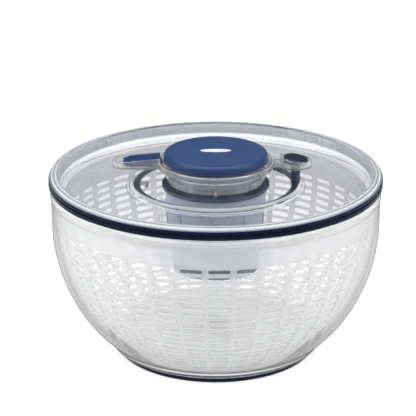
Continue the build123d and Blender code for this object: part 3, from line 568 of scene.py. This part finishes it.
around = COLUMNS * SIDE_COUNT[0]
band_start = FIRST_SLOT + np.pi / COLUMNS
last = PLAIN_TOP + ROWS * PITCH
walls = turned_by(slotted_wall(COLUMNS, ROWS, PLAIN_TOP, PITCH, SLOT_SHARE, SLOT_TALL), FIRST_SLOT)
top_band = turned_by(band(np.linspace(0, PLAIN_TOP, 6), around), band_start)
low_band = turned_by(band([last, last + PLAIN_LOW], around), band_start)
points, faces = joined(walls, top_band, low_band)
basket = piece("basket_slots", points, faces, "basket", BASKET_MILK,
               ("basket_rim", "basket_wall", "basket_heel", "basket_floor"))
thick = basket.modifiers.new("wall", "SOLIDIFY")
thick.thickness = WALL_THICKNESS * MM
thick.offset = -1.0
thick.use_even_offset = False

band_in = BASKET_R - WALL_THICKNESS
band_out = BASKET_R + WALL_THICKNESS
band_outline = with_radius([
    (band_in, 128.5), (BASKET_R, 128.5), (BASKET_R, RIM_STEP), (band_out, RIM_STEP), (band_out, 133.0),
    (band_in, 133.0)], 0.5)
points, faces = turned(softened(band_outline), 216)
piece("basket_band", points, faces, "basket", BASKET_MILK)

# the floor inside the lowest row of slots, with the hollow boss over the bowl's pin
r_low, z_low = (float(v) for v in along_wall(last + 1.0))
base_outline = with_radius([
    (10.3, 9.9), (10.5, 11.0), (r_low, z_low), (r_low - 0.5, z_low + 2.0), (12.1, 13.0), (9.1, 18.3),
    (0.0, 18.3), (0.0, 16.3), (8.08, 16.3), (8.08, 9.9)], 0.4)
points, faces = turned(softened(base_outline), 144)
piece("basket_base", points, faces, "basket", BASKET_MILK)

# ---- lid ----------------------------------------------------------------

# flat plate with its raised middle, then the upright rim that it runs into
plate_outline = with_radius([
    (30.4, 138.5), (30.4, 141.0), (66.0, 141.0), (67.6, 139.8), (68.2, 138.3), (70.2, 138.0),
    (71.0, 137.0), (124.2, 137.0), (123.6, 134.8), (66.8, 134.8), (66.2, 138.5)], 0.5)
rim_outline = np.vstack([
    with_radius([(124.2, 136.99)], 0.0),
    with_radius([(125.3, 148.4)], 0.6),
    with_radius([(126.4, 149.2)], 1.0),
    with_radius([(129.0, 148.6), (131.6, 147.7)], 1.2),
    with_radius([(132.5, 146.0)], 0.8),
    with_radius([(126.2, 146.0), (126.2, 139.5), (123.6, 134.81)], 0.3),
])
points, faces = turned(softened(plate_outline), 256)
piece("lid_plate", points, faces, "lid", LID_CLEAR, ("lid_shell",))
points, faces = turned(softened(rim_outline), 256)
piece("lid_rim", points, faces, "lid", RIM_CLEAR)

# seal with a shallow groove round its outer face
seal_outline = with_radius([
    (126.2, 139.5), (132.8, 139.5), (133.0, 140.0), (133.0, 142.6), (132.1, 143.0), (132.1, 144.0),
    (132.9, 144.4), (132.9, 145.6), (132.4, 146.0), (126.2, 146.0)], 0.35)
points, faces = turned(softened(seal_outline, steps=5), 256)
piece("lid_seal", points, faces, "lid", LID_SEAL, ("lid_gasket",))

# the drum's side is a cone: radius at its low end, and how much it gains over its height
DRUM_LOW = 79.0
DRUM_TALL = 57.0
DRUM_LOW_R = 36.0
DRUM_GAIN_R = 5.0
RIBS = 9
FIRST_RIB_DEG = -95.4


def drum_ribs(angles, low, high, half_width, proud, sunk):
    """Ribs up the drum's cone, one at each angle, pinched to almost nothing at both ends.

    Across, each is a half ellipse, half_width by proud, closed by a flat back sunk into the drum.
    """
    t = np.linspace(0, np.pi, 9)
    across = np.concatenate([half_width * np.cos(t), [-half_width, half_width]])
    out = np.concatenate([proud * np.sin(t), [-sunk, -sunk]])
    z = np.linspace(low, high, 8)
    ends = np.array([0.02] + [1.0] * 6 + [0.02])[:, None]
    cone = DRUM_LOW_R + DRUM_GAIN_R * (z - DRUM_LOW) / DRUM_TALL
    x, y = cone[:, None] + out * ends, across * ends
    a = np.asarray(angles)[:, None, None]
    tall = z[None, :, None] + 0 * (x + a)
    points = np.stack([x * np.cos(a) - y * np.sin(a), x * np.sin(a) + y * np.cos(a), tall], -1)
    count = len(across)
    base = (np.arange(len(angles)) * len(z) * count)[:, None, None]
    return points.reshape(-1, 3) * MM, (base + grid_faces(len(z), count, False, True)[None]).reshape(-1, 4)


rib_angles = np.radians(FIRST_RIB_DEG + 360.0 / RIBS * np.arange(RIBS))
points, faces = drum_ribs(rib_angles, 84.0, 127.0, 1.3, 0.9, 0.4)
piece("drum_ribs", points, faces, "lid", RIB_BLUE)

# ---- knob ---------------------------------------------------------------

KNOB_R = 41.5
DOME_R = 38.2
DOME_TOP = 165.0
DOME_DROP = 0.6
SKIRT_R = 39.2
SKIRT_LOW = 157.4

# the top falls off as the square of the radius, then an arc turns down into the skirt
r = np.linspace(0, DOME_R, 20)
dome = np.stack([r, DOME_TOP - DOME_DROP * (r / DOME_R) ** 2], -1)
shoulder = arc(dome[-1], (KNOB_R, 161.0), slope_at_end(dome), 12)
cap_outline = np.vstack([
    with_radius(dome, 0.0),
    with_radius(shoulder[1:], 0.0),
    with_radius([
        (KNOB_R, SKIRT_LOW), (SKIRT_R, SKIRT_LOW), (SKIRT_R, 161.3), (33.0, 161.3), (32.0, 162.5),
        (0.0, 162.5)], 0.5),
])
points, faces = turned(softened(cap_outline), 192)
piece("knob_shell", points, faces, "knob", KNOB_BLUE, ("knob_cap",))

# ---- floor, light and camera --------------------------------------------

FLOOR_HALF = 4.0
FLOOR_DROP = 0.00005
FLOOR_LINES = 9

# a flat grid just under the foot, so that the two don't share a plane
mesh = bpy.data.meshes.new("floor")
line = np.linspace(-FLOOR_HALF, FLOOR_HALF, FLOOR_LINES)
x, y = np.meshgrid(line, line, indexing="ij")
corners = np.stack([x, y, 0 * x - FLOOR_DROP], -1).reshape(-1, 3)
mesh.from_pydata(corners.tolist(), [], grid_faces(FLOOR_LINES, FLOOR_LINES)[:, ::-1].tolist())
floor = bpy.data.objects.new("floor", mesh)
bpy.context.scene.collection.objects.link(floor)
f = Finish("studio_floor")
paper = f.node("ShaderNodeBsdfPrincipled", {
    "Base Color": rgba(0.55, 0.55, 0.55), "Roughness": 0.75, "Specular IOR Level": 0.0,
    "Emission Color": rgba(1, 1, 1), "Emission Strength": 0.66,
    "Normal": f.bump(f.noise(160.0), 0.05, 0.0004)})
mesh.materials.append(f.done(paper.outputs[0]))

# the sky is dim near the horizon and bright overhead, so that clear walls have something dark to bend
world = bpy.data.worlds.new("studio")
bpy.context.scene.world = world
world.use_nodes = True
tree = world.node_tree
sky = tree.nodes["Background"]
way = tree.nodes.new("ShaderNodeTexCoord")
split = tree.nodes.new("ShaderNodeSeparateXYZ")
ramp = tree.nodes.new("ShaderNodeValToRGB")
tree.links.new(way.outputs["Generated"], split.inputs[0])
tree.links.new(split.outputs["Z"], ramp.inputs[0])
ramp.color_ramp.elements[0].position = 0.3
ramp.color_ramp.elements[0].color = rgba(0.25, 0.25, 0.26)
ramp.color_ramp.elements[1].position = 0.8
ramp.color_ramp.elements[1].color = rgba(1.0, 1.0, 1.0)
tree.links.new(ramp.outputs[0], sky.inputs["Color"])
sky.inputs["Strength"].default_value = 0.6


def soft_box(name, place, aim, width, height, power):
    """A rectangular studio light at place, facing aim."""
    lamp = bpy.data.lights.new(name, "AREA")
    lamp.shape = "RECTANGLE"
    lamp.size, lamp.size_y = width, height
    lamp.energy = power
    thing = bpy.data.objects.new(name, lamp)
    thing.location = place
    thing.rotation_euler = (Vector(aim) - Vector(place)).to_track_quat("-Z", "Y").to_euler()
    bpy.context.scene.collection.objects.link(thing)


soft_box("top_box", (0.0, 0.15, 1.3), (0, 0, 0.1), 1.3, 0.9, 9.5)
soft_box("left_box", (-1.1, -0.35, 0.7), (0, 0, 0.08), 0.45, 1.0, 5.0)
soft_box("right_box", (1.1, -0.35, 0.7), (0, 0, 0.08), 0.45, 1.0, 5.0)
soft_box("front_box", (0.0, -1.6, 1.3), (0, 0, 0.1), 1.4, 0.5, 2.6)

EYE_DISTANCE = 1.5
AIM_HEIGHT = 0.075
LENS_MM = 160.118
SENSOR_MM = 36.0

eye = bpy.data.cameras.new("camera")
eye.sensor_width = SENSOR_MM
eye.lens = LENS_MM
eye.shift_x = -0.01851
eye.shift_y = 0.115505
eye.clip_start, eye.clip_end = 0.05, 20.0
camera = bpy.data.objects.new("camera", eye)
tilt = np.radians(21.7)
camera.location = (0.0, -EYE_DISTANCE * np.cos(tilt), AIM_HEIGHT + EYE_DISTANCE * np.sin(tilt))
camera.rotation_euler = (np.pi / 2 - tilt, 0, 0)
bpy.context.scene.collection.objects.link(camera)
bpy.context.scene.camera = camera

scene = bpy.context.scene
scene.view_settings.view_transform = "Standard"
scene.cycles.max_bounces = 32
scene.cycles.transparent_max_bounces = 48
scene.cycles.transmission_bounces = 28
scene.cycles.glossy_bounces = 6
